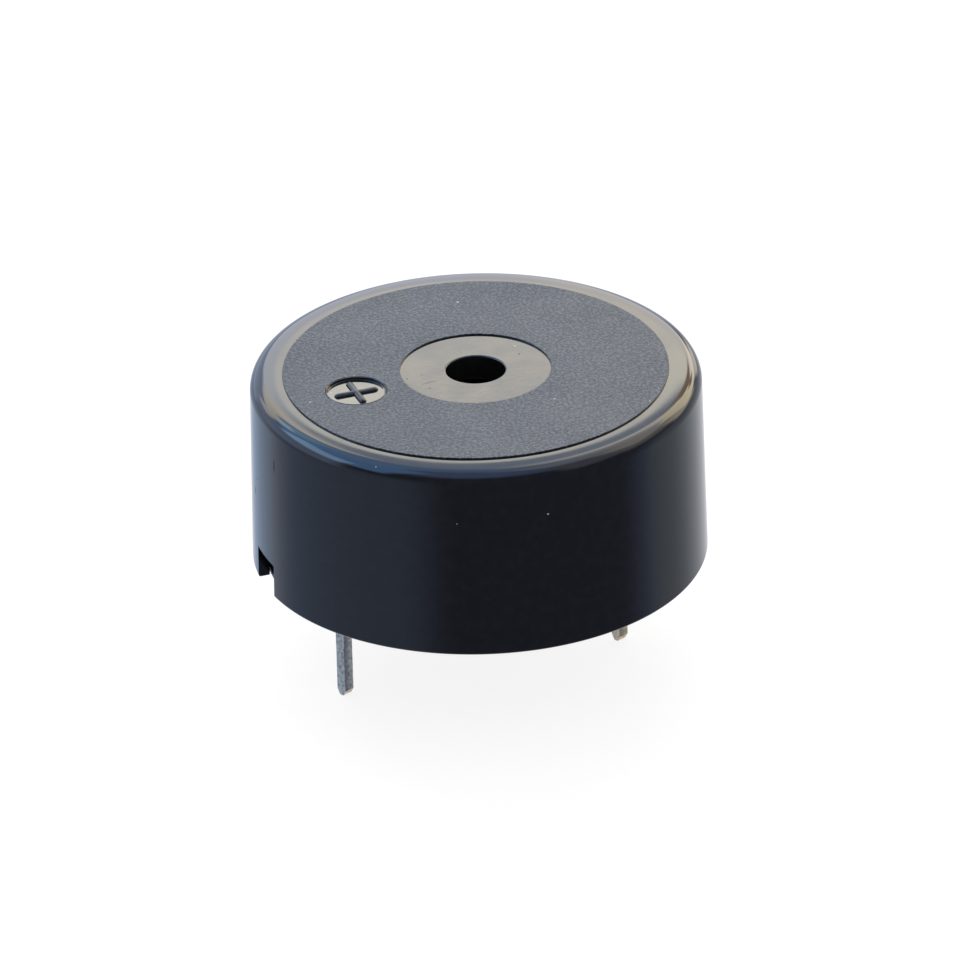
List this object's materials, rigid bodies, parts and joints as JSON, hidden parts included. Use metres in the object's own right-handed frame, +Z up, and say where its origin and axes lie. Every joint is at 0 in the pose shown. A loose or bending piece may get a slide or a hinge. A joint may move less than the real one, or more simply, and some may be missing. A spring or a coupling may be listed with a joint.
{
  "type": "piezo buzzer",
  "caption": "Round black piezo buzzer with a sound hole in its textured top, a plus mark, and two square pins for a circuit board.",
  "frame": {"origin": "centre of the housing on the seating plane, midway between the two pins", "axes": "+Z up along the housing's axis, towards the sound hole; X runs through both pins, and the positive pin and the plus mark are at -X"},
  "size_m": [0.0232, 0.0232, 0.0172],
  "materials": {
    "housing_plastic": "glossy moulded black plastic, with a spark-eroded matt ring on the top",
    "base_plastic": "satin moulded black plastic",
    "seal_resin": "cured black epoxy",
    "tinned_pin": "dull drawn and tinned",
    "phenolic_board": "smooth paper laminate",
    "copper_foil": "bare copper foil",
    "solder": "bright solder",
    "brass_sheet": "rolled brass sheet",
    "white_silicone": "cured silicone",
    "piezo_ceramic": "fine fired ceramic",
    "silver_film": "fired silver film",
    "transistor_resin": "matt moulded resin",
    "tinned_lead": "tinned lead frame",
    "resistor_ceramic": "coated ceramic chip",
    "red_insulation": "smooth plastic insulation",
    "blue_insulation": "smooth plastic insulation",
    "black_insulation": "smooth plastic insulation"
  },
  "bodies": {
    "root": {"housing": "housing_plastic", "base_plate": "base_plastic", "base_seal": "seal_resin", "positive_pin": "tinned_pin", "negative_pin": "tinned_pin", "circuit_board": "phenolic_board", "copper_tracks": "copper_foil", "positive_pin_solder": "solder", "negative_pin_solder": "solder", "diaphragm_plate": "brass_sheet", "diaphragm_adhesive": "white_silicone", "piezo_ceramic": "piezo_ceramic", "main_electrode": "silver_film", "feedback_electrode": "silver_film", "driver_transistor": "transistor_resin", "transistor_leads": "tinned_lead", "load_resistor": "resistor_ceramic", "bias_resistor": "resistor_ceramic", "feedback_resistor": "resistor_ceramic", "component_solder": "solder", "drive_wire": "red_insulation", "feedback_wire": "blue_insulation", "ground_wire": "black_insulation", "drive_wire_solder": "solder", "feedback_wire_solder": "solder", "ground_wire_solder": "solder"}
  },
  "joints": []
}
